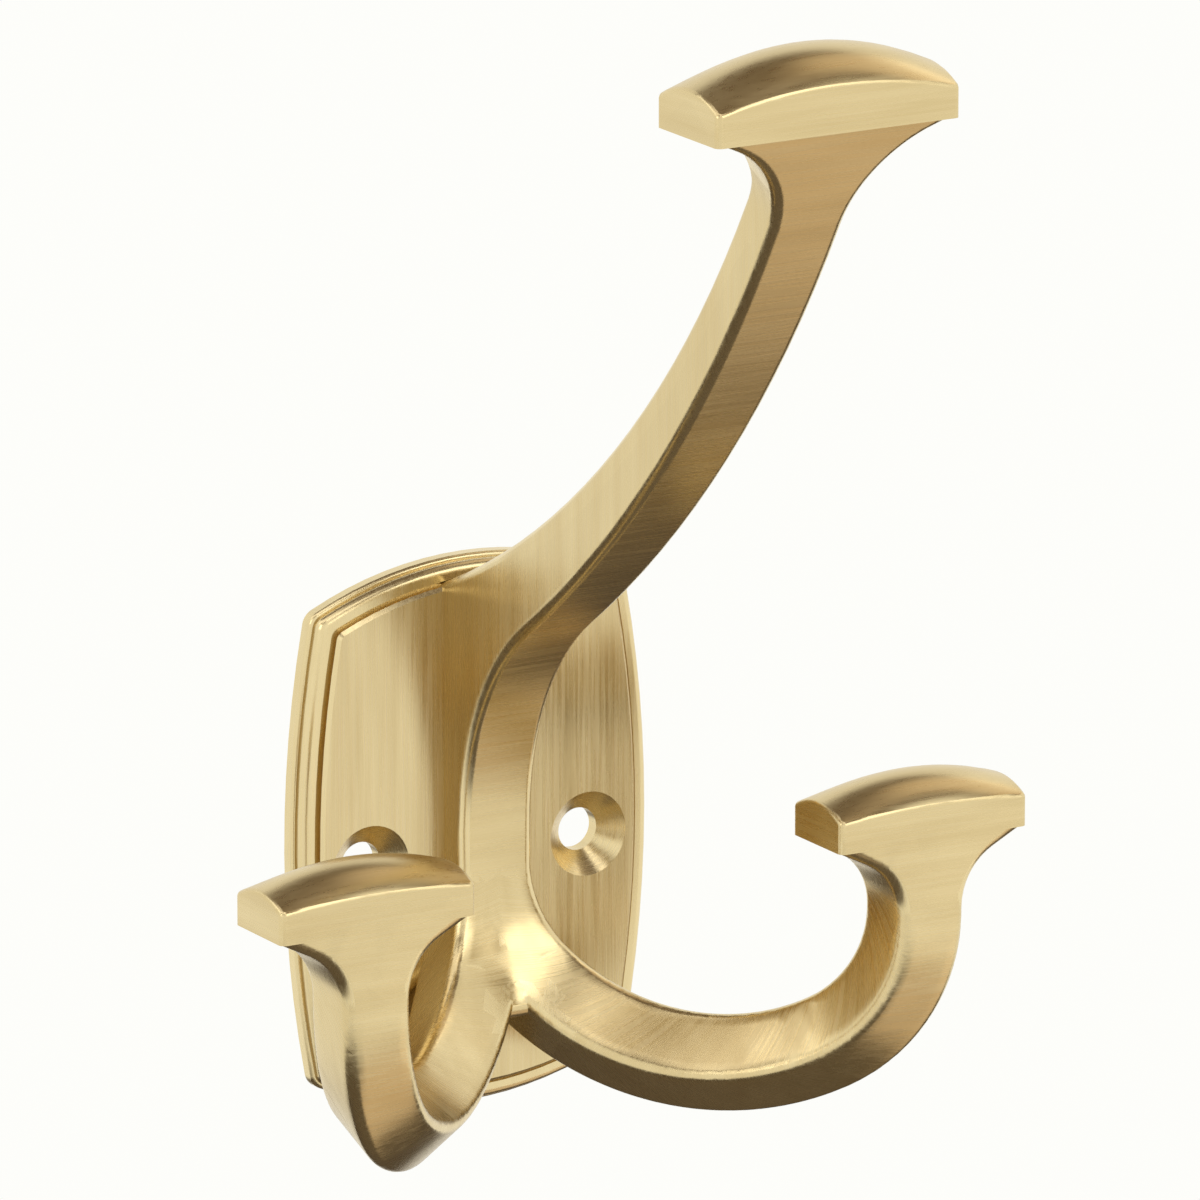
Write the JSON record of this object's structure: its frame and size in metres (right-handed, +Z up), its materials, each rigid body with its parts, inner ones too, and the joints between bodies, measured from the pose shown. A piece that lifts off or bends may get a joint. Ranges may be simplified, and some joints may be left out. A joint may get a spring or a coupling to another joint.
{
  "type": "triple prong wall hook",
  "caption": "Cast wall hook with a moulded backplate, a long upper prong and a fork of swept lower prongs, each ending in a crowned bar.",
  "frame": {"origin": "centre of the backplate's flat back, on the wall plane", "axes": "+Y into the wall, so the hook stands out along -Y; +Z up; +X to the right seen from the front"},
  "size_m": [0.0924, 0.0782, 0.1322],
  "materials": {
    "satin_brass": "satin, fine brushed"
  },
  "bodies": {
    "root": {"hook_body": "satin_brass"}
  },
  "joints": []
}
